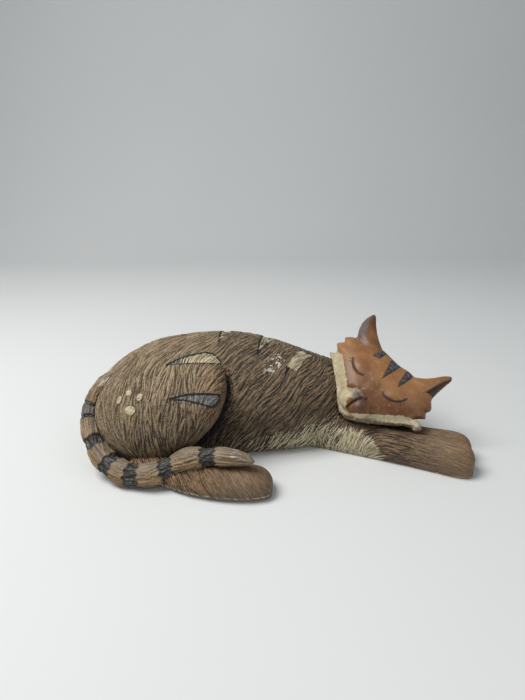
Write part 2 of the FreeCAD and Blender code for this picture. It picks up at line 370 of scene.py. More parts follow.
def falling(value, low, high):
    """1 below low, 0 above high and a soft slope between."""
    return 1 - rising(value, low, high)


def unit(vectors):
    """Arrows cut to length 1."""
    return vectors / np.maximum(np.linalg.norm(vectors, axis=-1, keepdims=True), 1e-12)


def set_points(mesh, points):
    """Moves a mesh's points."""
    mesh.vertices.foreach_set("co", points.ravel())
    mesh.update()


def shifted(points, lift, arrows):
    """Points moved lift metres along their arrows."""
    return points + lift[:, None] * arrows


def keep(mesh, **layers):
    """Keeps numbers, arrows or colours at every point, for the comb and the finish to read. A
    colour comes as its three or four parts, and a missing fourth is 1."""
    for name, values in layers.items():
        if isinstance(values, tuple):
            filled = [np.ones(len(values[0]))] * (4 - len(values))
            values = np.stack([*values, *filled], 1)
        kind, key = {1: ("FLOAT", "value"), 3: ("FLOAT_VECTOR", "vector"),
                     4: ("FLOAT_COLOR", "color")}[values.size // len(values)]
        layer = mesh.attributes.new(name, kind, "POINT")
        layer.data.foreach_set(key, values.astype(np.float32).ravel())


# %% [markdown]
# ## One coat over the luted parts
# On the real cat the thigh and the forelegs are luted to the body and the joins are sponged
# over, so the coat runs across them. A single coarse cast of all four parts, sponged soft, is
# the guide. Each finer piece is then settled on that guide where it shows, and pressed a
# millimetre into its neighbour where it doesn't, which leaves no gap at a join.

# %% The guide
COAT_NODES = ("torso_shell", "near_haunch", "near_foreleg", "far_foreleg")
VENT = at("torso_shell", 0.4193, 0.4907, 0)
JOIN_ROUNDS = 26


def guide_of(clay, grain, rounds, softer=None):
    """A soft cast of several parts together, ready to be asked for its nearest point. Softer
    tells where it is sponged harder, without swelling it back."""
    guide = recast(clay, "guide", grain, hollow=True)
    points = sponged(guide.data, points_of(guide.data), rounds)
    if softer:
        amount = softer(points)[:, None]
        points = sponged(guide.data, points, JOIN_ROUNDS, 0.5 * amount, 0.0)
    set_points(guide.data, points)
    soft = bmesh.new()
    soft.from_mesh(guide.data)
    tree = BVHTree.FromBMesh(soft)
    soft.free()
    print("guide points", len(guide.data.vertices))
    bpy.data.objects.remove(guide)
    return tree


clay = clay_of(*COAT_NODES)
plug(clay, VENT, VENT + (0, 0, 0.006), 0.005)
coat_guide = guide_of(clay, grain=0.0013, rounds=5)

# %% Settling a piece on the guide
SETTLE = 0.0024
PRESS = 0.0010


def settled(mesh, tree, held=0.0, tight=False):
    """Lays the showing points on the guide, save where they are held, and presses the hidden
    ones into the neighbour. Tight also lays down whatever stands proud of the guide. Gives the
    points, their outward arrows and how far each shows."""
    points = points_of(mesh)
    normals = normals_of(mesh)
    found = [tree.find_nearest(Vector(point)) for point in points]
    nearest = np.array([hit[0] for hit in found])
    facing = np.array([hit[1] for hit in found])
    gap = np.linalg.norm(points - nearest, axis=1)
    agree = (normals * facing).sum(1)
    close = falling(gap, 0.6 * SETTLE, SETTLE) * rising(agree, 0.0, 0.4)
    if tight:
        proud = ((points - nearest) * facing).sum(1)
        close = np.maximum(close, rising(proud, 0.0, 0.0003)
                           * falling(gap, SETTLE, 1.8 * SETTLE))
    hidden = (1 - close) * rising(gap, 0.4 * SETTLE, SETTLE)
    laid = close * (1 - held) * rising(points[:, 2], 0.0, 0.0006)
    moved = points + laid[:, None] * (nearest - points) + hidden[:, None] * PRESS * normals
    out = unit(laid[:, None] * facing + (1 - laid)[:, None] * normals)
    return moved, out, close


# %% [markdown]
# ## The lay of the coat
# Cat hair parts along the spine and slants down and back over the ribs, stands almost upright
# on the thigh, and runs along the legs. A gouge follows that lay. So each point of the coat is
# given an arrow that lies in the surface: partly towards the tail, partly downhill.

# %% The lay
BODY_MID = at("torso_shell", 0.572, 0.494, 0)


def downhill(points, out):
    """The steepest way down along the surface; over the spine it parts to both sides."""
    fall = np.zeros_like(points)
    fall[:, 2] = -1
    spine = BODY_MID[1] + 0.004
    fall[:, 1] = 0.55 * np.tanh((points[:, 1] - spine) / 0.006)
    return unit(fall - (fall * out).sum(1)[:, None] * out)


def coat_lay(points, out):
    """The arrows over the back, the ribs, the belly and the thigh."""
    x, z = points[:, 0] - BODY_MID[0], points[:, 2]
    slant = 47 + 0 * x
    slant += -22 * rising(x, 0.030, 0.050) * rising(z, 0.030, 0.045)
    slant += 20 * falling(z, 0.012, 0.030)
    slant += 38 * falling(x, -0.050, -0.030) * falling(z, 0.066, 0.074)
    slant += 24 * falling(x, -0.112, -0.085) * falling(z, 0.030, 0.050)
    slant += 9 * np.sin(210 * x + 95 * z + 0.7) + 5 * np.sin(480 * x - 310 * z)
    slant = np.radians(slant)[:, None]
    back = np.zeros_like(points)
    back[:, 0] = -1
    back = unit(back - (back * out).sum(1)[:, None] * out)
    return unit(np.cos(slant) * back + np.sin(slant) * downhill(points, out))


def leg_lay(points, out, along, slope):
    """The arrows along a leg, with a little fall to them."""
    run = np.tile(np.array(along, float), (len(points), 1))
    run = unit(run - (run * out).sum(1)[:, None] * out)
    turn = slope + 0.16 * np.sin(330 * points[:, 0] + 260 * points[:, 2])
    return unit(run + turn[:, None] * downhill(points, out))


# %% [markdown]
# ## Paint for the coat
# The painter worked in flat patches with a nearly dry brush: cream and grey wedges on the back
# and thigh with a dark outline, a worn cream belly, and dark wash everywhere in the grooves.
# Each patch is an outline drawn on the unrolled body, as length along it and angle round it,
# and is stored as how much of each colour lies at every point.

# %% Drawing patches
def nearest_on(here, start, side):
    """At what share of a straight side each point is nearest, and how far it is from there."""
    share = np.clip(((here - start) @ side) / (side @ side), 0, 1)
    return share, np.linalg.norm(here - start - share[:, None] * side, axis=1)


def drawn(u, v, outline, soft):
    """How much of a patch lies at each point, and how far that point is from its edge."""
    here = np.stack([u, v], 1)
    corners = np.array(outline, float)
    gap = np.full(len(u), 1e9)
    inside = np.zeros(len(u), bool)
    for start, end in zip(corners, np.roll(corners, -1, 0)):
        side = end - start
        gap = np.minimum(gap, nearest_on(here, start, side)[1])
        if start[1] != end[1]:
            crosses = (start[1] > v) != (end[1] > v)
            inside ^= crosses & (u < start[0] + (v - start[1]) / side[1] * side[0])
    depth = np.where(inside, gap, -gap)
    return rising(depth, -soft, soft), depth


def unrolled(points, mirrored):
    """Length along the body and length round it, in millimetres, from one side or the other."""
    side = -1 if mirrored else 1
    across = side * (BODY_MID[1] + 0.003 - points[:, 1])
    angle = np.arctan2(points[:, 2] - 0.030, across)
    return (points[:, 0] - BODY_MID[0]) * 1000, angle * 40


def girth(*corners):
    """Corners given as millimetres along the body and degrees round it, as lengths."""
    return [(x, math.radians(angle) * 40) for x, angle in corners]


THIGH_WEDGE = girth((-65.7, 47), (-58, 53.5), (-50.1, 57.5), (-42.7, 61.5), (-37.4, 60.5),
                    (-31.8, 53), (-31.6, 51), (-38.6, 49), (-48, 48.5), (-56.7, 47.5))
LOW_WEDGE = girth((-61.5, 22.6), (-51.2, 25), (-40.4, 25.4), (-31.5, 24.6), (-32.2, 20.5),
                  (-35.7, 17), (-43.3, 20), (-52.3, 22))
BACK_WEDGES = [
    girth((-34.3, 75), (-33.6, 96), (-31.5, 120), (-26.0, 98)),
    girth((-8.3, 64), (-5.2, 97), (-3.0, 124), (4.4, 99)),
    girth((11.5, 56), (17.4, 51), (30.6, 90), (22.4, 92)),
]
BACK_DRIPS = girth((10.6, 56), (9.5, 42), (13.2, 52))
TICKS = [girth((-87.5, 73), (-86.3, 86), (-84.0, 86)), girth((-61.4, 90), (-60.0, 102), (-55, 101))]
CHIP_PATCH = girth((-4, 45), (-1, 60), (8, 72), (10, 60), (3, 47))


def mound(u, v, centre, half, turn=0.0):
    """A soft oval swelling, 1 at its middle."""
    angle = math.radians(turn)
    du, dv = u - centre[0], v - centre[1]
    across = (du * math.cos(angle) + dv * math.sin(angle)) / half[0]
    along = (-du * math.sin(angle) + dv * math.cos(angle)) / half[1]
    return np.clip(1 - across ** 2 - along ** 2, 0, 1) ** 1.5


def outlined(depth, width=0.40):
    """A dark line just inside a patch's edge, of uneven width."""
    return falling(abs(depth + 0.1), width, width + 0.45)


def root_wedge(points):
    """The pale wedge where the tail leaves the rump."""
    along, across = ((points - BODY_MID) * 1000)[:, :2].T
    near_side = falling(across, -1.0, 3.0)
    return near_side * mound(along, points[:, 2] * 1000, (-108.5, 54), (5.6, 2.4), 34) ** 0.4


def coat_paint(points, close):
    """Cream, grey, black and chips on the coat, and how deep the patches are pressed."""
    cream, grey, black, chips, sunk = (np.zeros(len(points)) for _ in range(5))
    for mirrored in (False, True):
        u, v = unrolled(points, mirrored)
        patch, depth = drawn(u, v, THIGH_WEDGE, 0.4)
        right = rising(u + 0.5 * v, -62 + 21, -54 + 21)
        cream = np.maximum(cream, patch * right)
        grey = np.maximum(grey, patch * (1 - right))
        black = np.maximum(black, outlined(depth, 0.3))
        black = np.maximum(black, 0.5 * mound(u, v, (-68, 32.5), (6.5, 1.8)))
        sunk = np.maximum(sunk, patch)
        patch, depth = drawn(u, v, LOW_WEDGE, 0.4)
        grey = np.maximum(grey, patch)
        black = np.maximum(black, outlined(depth, 0.25))
        black = np.maximum(black, 0.55 * mound(u, v, (-61, 14.5), (10, 3.2), -12))
        sunk = np.maximum(sunk, patch)
        if mirrored:
            continue
        for number, wedge in enumerate(BACK_WEDGES):
            patch, depth = drawn(u, v, wedge, 0.4)
            pale = number == 2
            cream = np.maximum(cream, patch * (1.0 if pale else 0.6))
            grey = np.maximum(grey, patch * (0.0 if pale else 0.55))
            rim = outlined(depth, 0.25 if pale else 0.45)
            black = np.maximum(black, rim * (rising(u, 16, 24) if pale else 1.0))
            sunk = np.maximum(sunk, patch)
        black = np.maximum(black, drawn(u, v, BACK_DRIPS, 0.6)[0])
        for tick in TICKS:
            black = np.maximum(black, drawn(u, v, tick, 0.5)[0])
        chips = np.maximum(chips, drawn(u, v, CHIP_PATCH, 2.5)[0])
    return [layer * close for layer in (cream, grey, black, chips, sunk)]


print("patches", 3 + len(BACK_WEDGES) + len(TICKS))

# %% [markdown]
# ## The finish of the coat
# Brown stain lies thick in the grooves and the ridges are wiped back to tan, so the colour
# follows the same strokes as the carving. The finish reads the smeared noise at the resting
# place of each point, then lays the stored patches over it like a dry brush that only touches
# the ridges. The underside was never painted and shows the pale body.

# %% Reading what a point keeps
def kept(tree, name, output=1):
    """A stored property, read by a finish: 0 colour, 1 arrow, 2 number, 3 the fourth part."""
    return add(tree, "ShaderNodeAttribute", output=output, attribute_name=name)


def parts_of(tree, colour):
    """The three numbers packed in a stored colour."""
    node = tree.nodes.new("ShaderNodeSeparateColor")
    tree.links.new(colour, node.inputs[0])
    return node.outputs[0], node.outputs[1], node.outputs[2]


def brushed(tree, amount, ridge, ragged):
    """A patch whose edge breaks up over the ridges, as a dry brush leaves it."""
    lifted = plus(tree, amount, times(tree, minus(tree, ridge, 0.5), ragged))
    return spread(tree, lifted, 0.38, 0.62)


def raised(tree, skin, height, strength, distance):
    """Bump for relief finer than the mesh."""
    bump = tree.nodes.new("ShaderNodeBump")
    bump.inputs["Strength"].default_value = strength
    bump.inputs["Distance"].default_value = distance
    tree.links.new(height, bump.inputs["Height"])
    tree.links.new(bump.outputs[0], skin.inputs["Normal"])


STROKES = (1050, 0.0068, 8, 0.415, 0.585)
FINE_STROKES = (1600, 0.0056, 9, 0.42, 0.58)
LEG_STROKES = (1250, 0.0056, 8, 0.41, 0.59)
LEG_FINE = (2000, 0.0040, 8, 0.41, 0.59)


def coat_finish(name, broad_strokes, fine_strokes):
    """Stained, combed and dry-brushed clay."""
    finish, tree, skin = new_finish(name)
    rest, lay = kept(tree, "rest"), kept(tree, "lay")
    strokes = combed(tree, rest, lay, *broad_strokes)
    fine = combed(tree, rest, lay, *fine_strokes)
    grit = speckle(tree, rest, 2400)
    blotch = speckle(tree, rest, 45, 3.0)
    ridge = spread(tree, mixed(tree, strokes, 0.55, fine, 0.45), 0.27, 0.70)
    cut = kept(tree, "shade", 3)
    ridge = mixed(tree, ridge, cut, minus(tree, 1.0, cut), 0.66)
    tone, warm, bare = parts_of(tree, kept(tree, "shade", 0))
    cream, grey, black = parts_of(tree, kept(tree, "paint", 0))
    chips = kept(tree, "paint", 3)
    # The stored tone carries the stain together with painted light and shade: paler where the light
    # falls, darker where shade falls.
    tone = plus(tree, tone, times(tree, minus(tree, blotch, 0.5), 0.5), use_clamp=True)
    groove = blend(tree, tone, (0.009, 0.0055, 0.003, 1), (0.070, 0.045, 0.025, 1))
    wiped = blend(tree, tone, (0.178, 0.110, 0.061, 1), (0.368, 0.276, 0.163, 1))
    coat = blend(tree, ridge, groove, wiped)
    coat = blend(tree, times(tree, warm, ridge), coat, (0.36, 0.19, 0.085, 1))
    grey_slip = blend(tree, ridge, (0.055, 0.056, 0.050, 1), (0.250, 0.245, 0.220, 1))
    coat = blend(tree, brushed(tree, grey, ridge, 0.5), coat, grey_slip)
    cream_slip = blend(tree, ridge, (0.200, 0.155, 0.090, 1), (0.600, 0.520, 0.345, 1))
    coat = blend(tree, brushed(tree, cream, ridge, 0.75), coat, cream_slip)
    coat = blend(tree, brushed(tree, black, ridge, -0.4), coat, (0.014, 0.011, 0.009, 1))
    chip = times(tree, chips, spread(tree, speckle(tree, rest, 330, 3.0), 0.57, 0.60))
    coat = blend(tree, chip, coat, (0.72, 0.68, 0.58, 1))
    body = blend(tree, grit, (0.46, 0.41, 0.33, 1), (0.62, 0.57, 0.48, 1))
    coat = blend(tree, bare, coat, body)
    tree.links.new(coat, skin.inputs["Base Color"])
    rough = spread(tree, ridge, 0.0, 1.0, 0.78, 0.58)
    tree.links.new(rough, skin.inputs["Roughness"])
    height = plus(tree, ridge, times(tree, grit, 0.16))
    raised(tree, skin, height, 0.75, 0.00055)
    return finish


COAT = coat_finish("combed_coat", STROKES, FINE_STROKES)
LEG_COAT = coat_finish("combed_legs", LEG_STROKES, LEG_FINE)
print("coat nodes", len(COAT.node_tree.nodes))

# %% [markdown]
# ## Combing the clay itself
# Strokes a millimetre apart are deep enough to break the outline, so they are cut into the
# mesh and not only drawn. A geometry tree reads the same smeared noise as the finish and lifts
# or sinks each point along its outward arrow. Its result is then made the piece's own mesh.

# %% Combing
STAYS_PUT = 0.62


def comb(model, depth, strokes_cut=STROKES):
    """Cuts the strokes that the finish colours, depth metres from groove to ridge. A point at
    the height that stays put isn't moved."""
    tree = bpy.data.node_groups.new("comb_" + model.name, "GeometryNodeTree")
    for way in ("INPUT", "OUTPUT"):
        tree.interface.new_socket("Geometry", in_out=way, socket_type="NodeSocketGeometry")
    def held(name, kind="FLOAT_VECTOR"):
        return add(tree, "GeometryNodeInputNamedAttribute", {"Name": name}, data_type=kind)
    strokes = combed(tree, held("rest"), held("lay"), *strokes_cut)
    lift = times(tree, minus(tree, strokes, STAYS_PUT),
                 times(tree, held("relief", "FLOAT"), depth))
    move = add(tree, "ShaderNodeVectorMath", {0: held("out"), "Scale": lift}, operation="SCALE")
    source = tree.nodes.new("NodeGroupInput")
    result = add(tree, "GeometryNodeSetPosition", {"Geometry": source.outputs[0], "Offset": move})
    tree.links.new(result, tree.nodes.new("NodeGroupOutput").inputs[0])
    model.modifiers.new("comb", "NODES").node_group = tree
    baked(model)
    bpy.data.node_groups.remove(tree)


def finished(model, finish, slot, *nodes):
    """Gives a piece its finish, and has it ride the body and stand for its solids."""
    mesh = model.data
    for name in ("out", "relief"):
        if name in mesh.attributes:
            mesh.attributes.remove(mesh.attributes[name])
    mesh.materials.clear()
    mesh.materials.append(finish)
    mesh.shade_smooth()
    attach(model, "root")
    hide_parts(*nodes)
    print(model.name, "triangles", sum(len(face.vertices) - 2 for face in mesh.polygons))


def bare_base(points, out):
    """The unpainted underside."""
    return rising(-out[:, 2], 0.6, 0.85) * falling(points[:, 2], 0.0006, 0.0014)


# %% [markdown]
# ## Body and thigh
# The body is one low, long hump, and the thigh is a second one laid on its flank with a lip at the
# front, with a painted shadow in the crevice ahead of the lip. The stain is painted darker low on
# the flanks as shade and paler on the thigh and over the top as light, and the belly carries worn
# cream.

# %% Body and thigh
thigh_clay = clay_of("near_haunch")
thigh_tree = BVHTree.FromBMesh(thigh_clay)
thigh_clay.free()
CREVICE_WIDTH, CREVICE_SPREAD = 0.0042, 0.0088
CREVICE_DEPTH, PATCH_DEPTH, STROKE_DEPTH = 0.0036, 0.00045, 0.00095


def crevice(points):
    """How near each point is to the thigh's front lip, from the body's side, where the body is
    pressed in and a painted shadow lies. The painted shadow spreads towards the base."""
    nearest = np.array([thigh_tree.find_nearest(Vector(point))[0] for point in points])
    gap = np.linalg.norm(points - nearest, axis=1)
    ahead = rising(points[:, 0] - nearest[:, 0], -0.0004, 0.0006)
    wide = CREVICE_WIDTH + CREVICE_SPREAD * falling(points[:, 2], 0.012, 0.050)
    return np.exp(-(gap / wide) ** 2) * ahead


def body_coat(model):
    """Carves and paints the body or the thigh."""
    mesh = model.data
    points = sponged(mesh, points_of(mesh), 2)
    set_points(mesh, points)
    x, z = points[:, 0] - BODY_MID[0], points[:, 2]
    fold = rising(x, -0.062, -0.050) * falling(z, 0.056, 0.066)
    fold *= rising(BODY_MID[1] - points[:, 1], 0.0, 0.010)
    fold *= falling(x, -0.018, -0.004)
    points, out, close = settled(mesh, coat_guide, fold)
    thigh = falling(x, -0.046, -0.028) * rising(z, 0.004, 0.030)
    thigh = np.maximum(thigh, 0.75 * falling(x, -0.062, -0.044))
    # Painted light and shade: the stain is painted paler on the thigh and over the top, where the
    # light falls, and darker low on the flanks, where shade falls.
    tone = 0.34 + 0.46 * thigh - 0.24 * falling(z, 0.014, 0.042) * (1 - thigh)
    tone += 0.12 * rising(z, 0.050, 0.070)
    lip = np.exp(-((x + 0.036) / 0.007) ** 2) * rising(z, 0.028, 0.045)
    warm = 0.55 * lip * falling(z, 0.060, 0.068)
    cream, grey, black, chips, sunk = coat_paint(points, close)
    if model.name == "body_shell":
        # Painted shadow: ahead of the thigh's lip the body is pressed in, painted near black and
        # its stain darkened, for the shadow the lip casts.
        behind = crevice(points) * fold * close
        points = shifted(points, -CREVICE_DEPTH * behind, out)
        black = np.maximum(black, 0.97 * behind)
        tone = tone * (1 - 0.9 * behind)
    chest = np.clip(x, 0, 0.05)
    belly = rising(x, -0.045, 0.024)
    belly *= falling(z, 0.008 + 0.10 * chest, 0.024 + 0.16 * chest)
    rim = falling(z, 0.0015, 0.0035) * rising(x, -0.03, 0.0) * 0.55
    cream = np.maximum(cream, np.maximum(0.70 * belly, rim))
    cream = np.maximum(cream, 0.7 * root_wedge(points))
    points = shifted(points, -PATCH_DEPTH * sunk, out)
    bare = bare_base(points, out)
    relief = (0.25 + 0.75 * close) * (1 - 0.7 * sunk) * (1 - bare)
    set_points(mesh, points)
    keep(mesh, rest=points, lay=coat_lay(points, out), out=out, relief=relief,
         paint=(cream, grey, black, chips), shade=(tone, warm, bare))
    comb(model, STROKE_DEPTH)


clay = clay_of("torso_shell")
plug(clay, VENT + (0, 0, 0.0035), VENT + (0, 0, 0.007), 0.0046)
body = recast(clay, "body_shell", grain=0.00083, hollow=True)
body_coat(body)
finished(body, COAT, "combed_brown", "torso_shell")

thigh = recast(clay_of("near_haunch"), "near_thigh", grain=0.00062)
body_coat(thigh)
finished(thigh, COAT, "combed_brown", "near_haunch")

# %% [markdown]
# ## Legs
# The forelegs lie stretched out side by side and the hind foot sticks out from under the tail.
# On a foreleg the strokes leave the body at the coat's own slant and turn lengthwise towards the
# paw. The toes are sponged round and cut lightly, and their paint is rubbed to a paler brown.

# %% Legs
leg_trees = {}
for node in ("near_foreleg", "far_foreleg"):
    leg_clay = clay_of(node)
    leg_trees[node] = BVHTree.FromBMesh(leg_clay)
    leg_clay.free()
TOE_ROUNDS = 60
CREAM_END = 0.0705


def between(points, name):
    """How near each point of one foreleg is to the other."""
    other = leg_trees["far_foreleg" if name.startswith("near") else "near_foreleg"]
    gap = np.array([other.find_nearest(Vector(point))[3] for point in points])
    return np.exp(-(gap / 0.0014) ** 2)


def leg_coat(model, along, slope, toe_start, toe_end, tones, depth, warm_root):
    """Carves and paints a leg: toe_start and toe_end are places along X where it turns smooth."""
    mesh = model.data
    points = sponged(mesh, points_of(mesh), 2)
    toe = rising(points[:, 0], toe_start, toe_end)
    round_off = toe[:, None] * rising(points[:, 2], 0.0002, 0.0030)[:, None]
    points = sponged(mesh, points, TOE_ROUNDS, 0.5 * round_off, 0.47 * round_off)
    points[:, 2] = np.maximum(points[:, 2], 0)
    set_points(mesh, points)
    if model.name == "hind_foot":
        points, out = points_of(mesh), normals_of(mesh)
        close = np.ones(len(points))
    else:
        points, out, close = settled(mesh, coat_guide, toe)
    x, z = points[:, 0], points[:, 2]
    tone = tones[0] + (tones[1] - tones[0]) * toe
    # Painted light and shade: each leg is painted paler up top, where the light falls, and darker
    # just above the table, where shade falls.
    tone = tone + 0.10 * rising(z, 0.008, 0.018) - 0.14 * falling(z, 0.001, 0.008)
    warm = warm_root * (1 - toe) + 0.24 * toe
    zero = np.zeros(len(points))
    cream, grey, black = zero.copy(), zero.copy(), zero.copy()
    lay = leg_lay(points, out, along, slope)
    if model.name == "hind_foot":
        grey = 0.75 * falling(z, 0.0022, 0.0030)
        cream = 0.60 * np.exp(-((z - 0.0036) / 0.0006) ** 2)
        grey = np.maximum(grey, 0.25 * toe)
    else:
        end = CREAM_END - 0.85 * np.clip(z - 0.007, 0, 1)
        end += 0.0012 * np.sin(900 * z + 700 * points[:, 1])
        patch = rising(x, 0.034, 0.044) * falling(x, end - 0.004, end)
        patch *= falling(z, 0.0150, 0.0205) * rising(-points[:, 1], 0.000, 0.006)
        behind = falling(x, 0.038, 0.046) * falling(z, 0.010, 0.024)
        rim = 0.42 * falling(z, 0.001, 0.003) * toe
        cream = np.maximum(np.maximum(0.92 * patch, 0.65 * behind), rim)
        # Painted shade: where the forelegs touch, the crease between them is pressed in and painted
        # nearly black as shade.
        part = between(points, model.name) * close * rising(x, toe_start, toe_end)
        points = shifted(points, -0.0009 * part, out)
        black = 0.8 * part
        warm = warm + 0.35 * np.exp(-((x - toe_end - 0.012) / 0.006) ** 2) * toe
        turned = rising(x, 0.046, 0.080)[:, None]
        lay = unit((1 - turned) * coat_lay(points, out) - turned * lay)
    bare = bare_base(points, out)
    relief = (0.2 + 0.8 * close) * (1 - 0.75 * toe) * (1 - bare)
    set_points(mesh, points)
    keep(mesh, rest=points, lay=lay, out=out, relief=relief,
         paint=(cream, grey, black, zero), shade=(tone, warm, bare, 1 - 0.50 * toe))
    comb(model, depth, LEG_STROKES)


LEG_TURN = math.radians(25)
REACH = (math.cos(LEG_TURN), -math.sin(LEG_TURN), 0)
for node, name in (("near_foreleg", "near_foreleg_coat"), ("far_foreleg", "far_foreleg_coat")):
    leg = recast(clay_of(node), name, grain=0.00055)
    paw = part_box(node)[1].x
    leg_coat(leg, REACH, 0.10, paw - 0.046, paw - 0.020, (0.08, 0.30), 0.00045, 0.10)
    finished(leg, LEG_COAT, "combed_brown", node)

foot = recast(clay_of("hind_paw"), "hind_foot", grain=0.00055)
foot_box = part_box("hind_paw")
foot_middle = (foot_box[0].x + foot_box[1].x) / 2
leg_coat(foot, (1, -0.28, 0), 1.35, foot_middle - 0.004, foot_middle + 0.022, (0.12, 0.20), 0.00065,
         0.55)
finished(foot, LEG_COAT, "combed_brown", "hind_paw")

# %% [markdown]
# ## Tail
# The tail is modelled like a string of sleeves: the clay swells between the dark bands and is
# pinched in and fluted under them, with long fibres cut lengthwise like wood grain. Every point
# finds its nearest place on the tail's own centre line, and that share of the length says
# whether it is in a sleeve or in a band. The root sinks into the rump, the tip is drawn thinner,
# and the sleeve that lies over the hind foot is swelled on top.

# %% The tail's centre line
TAIL_LINE = [
    (0.251, 0.985, 0.932), (0.133, 0.902, 0.832), (0.061, 0.804, 0.619), (0.067, 0.637, 0.407),
    (0.150, 0.428, 0.206), (0.288, 0.254, 0.119), (0.434, 0.192, 0.144), (0.595, 0.227, 0.244),
    (0.762, 0.185, 0.350), (0.894, 0.115, 0.375), (0.963, 0.067, 0.375), (0.989, 0.039, 0.375),
]
line = bpy.data.curves.new("tail_line", "CURVE")
line.dimensions = "3D"
spline = line.splines.new("NURBS")
spline.points.add(len(TAIL_LINE) - 1)
for point, shares in zip(spline.points, TAIL_LINE):
    point.co = (*at("tail", *shares), 1)
spline.order_u = 3
spline.use_endpoint_u = True
line.resolution_u = 10
guide_line = show(line, "tail_line")
bpy.context.view_layer.update()
line_mesh = bpy.data.meshes.new_from_object(guide_line)
TAIL_POINTS = points_of(line_mesh)
bpy.data.objects.remove(guide_line)
TAIL_STEPS = np.linalg.norm(np.diff(TAIL_POINTS, axis=0), axis=1)
TAIL_RUN = np.concatenate([[0], np.cumsum(TAIL_STEPS)]) / TAIL_STEPS.sum()
TAIL_AIM = unit(np.gradient(TAIL_POINTS, axis=0))
print("tail length", round(float(TAIL_STEPS.sum()), 4))


def on_tail(points):
    """Share of the tail's length, the line's direction and the arrow out from it."""
    share = np.empty(len(points))
    foot_point = np.empty_like(points)
    for first in range(0, len(points), 20000):
        some = points[first:first + 20000]
        best = np.linalg.norm(some[:, None] - TAIL_POINTS[None], axis=2).argmin(1)
        best = np.clip(best, 1, len(TAIL_POINTS) - 2)
        step = TAIL_POINTS[best + 1] - TAIL_POINTS[best - 1]
        slide = ((some - TAIL_POINTS[best - 1]) * step).sum(1) / (step * step).sum(1)
        slide = np.clip(slide, 0, 1)
        foot_point[first:first + 20000] = TAIL_POINTS[best - 1] + slide[:, None] * step
        share[first:first + 20000] = (TAIL_RUN[best - 1]
                                      + slide * (TAIL_RUN[best + 1] - TAIL_RUN[best - 1]))
    aim = np.stack([np.interp(share, TAIL_RUN, TAIL_AIM[:, axis]) for axis in range(3)], 1)
    return share, unit(aim), unit(points - foot_point)


# %% Tail
FIBRES = (950, 0.0090, 9, 0.42, 0.58)
TAIL_BANDS = [(0.331, 0.021), (0.445, 0.020), (0.549, 0.021), (0.674, 0.022), (0.836, 0.024)]
THIN_BANDS = [(0.180, 0.007), (0.228, 0.007)]
tail = recast(clay_of("tail"), "tail_bands", grain=0.00048)
mesh = tail.data
points = sponged(mesh, points_of(mesh), 3)
share, aim, away = on_tail(points)
band = np.zeros(len(points))
edge = np.zeros(len(points))
for place, half in TAIL_BANDS + THIN_BANDS:
    wobble = 0.004 * np.sin(9 * np.arctan2(away[:, 2], away[:, 1]))
    off = abs(share - place + wobble)
    band = np.maximum(band, falling(off, half - 0.004, half + 0.003))
    edge = np.maximum(edge, np.exp(-((off - half) / 0.004) ** 2) * (half > 0.01))
thin_fill = rising(share, 0.180, 0.185) * falling(share, 0.224, 0.228)
stops = np.array([0.0] + [place for place, _ in TAIL_BANDS] + [1.04])
number = np.clip(np.searchsorted(stops, share) - 1, 0, len(stops) - 2)
inner = (share - stops[number]) / (stops[number + 1] - stops[number])
swell = np.sin(np.pi * np.clip(inner, 0, 1)) ** 0.6 * rising(share, 0.10, 0.30)
flutes = np.sin(11 * np.arctan2(away[:, 2], away[:, 1]) + 40 * share)
lift = 0.00035 * swell - 0.00075 * band + 0.00016 * flutes * band
floor = rising(points[:, 2], 0.0, 0.002)
TIP_TAPER, ROOT_SINK, HOCK_SWELL = 0.0019, 0.0022, 0.0022
lift -= TIP_TAPER * rising(share, 0.87, 1.0) + ROOT_SINK * falling(share, 0.0, 0.07)
over_foot = np.exp(-((share - 0.757) / 0.045) ** 2) * rising(away[:, 2], -0.2, 0.6)
lift += HOCK_SWELL * over_foot
points = shifted(points, lift * floor, away)
points = sponged(mesh, points, 1)
set_points(mesh, points)
normals = normals_of(mesh)
lay = unit(aim - (aim * normals).sum(1)[:, None] * normals)
lay = unit(lay + 0.13 * np.sin(520 * points[:, 0] + 410 * points[:, 1])[:, None]
           * np.cross(normals, lay))
inward = rising(normals[:, 2], 0.25, 0.85)
relief = floor * (1 - 0.45 * inward) * (1 - 0.5 * rising(share, 0.9, 1))
# The top of the tip is painted pale, partly rubbed paint and partly a painted highlight where the
# light catches it; the root wedge adds pale paint.
pale_patch_and_highlight = 0.42 * np.exp(-((share - 0.932) / 0.020) ** 2) * rising(normals[:, 2], 0.2, 0.8)
pale_patch_and_highlight = np.maximum(pale_patch_and_highlight, 0.62 * root_wedge(points))
keep(mesh, rest=points, lay=lay, out=normals, relief=relief,
     paint=(band, 0.8 * thin_fill, edge, pale_patch_and_highlight),
     shade=(inward, rising(share, 0.84, 0.9), bare_base(points, normals)))


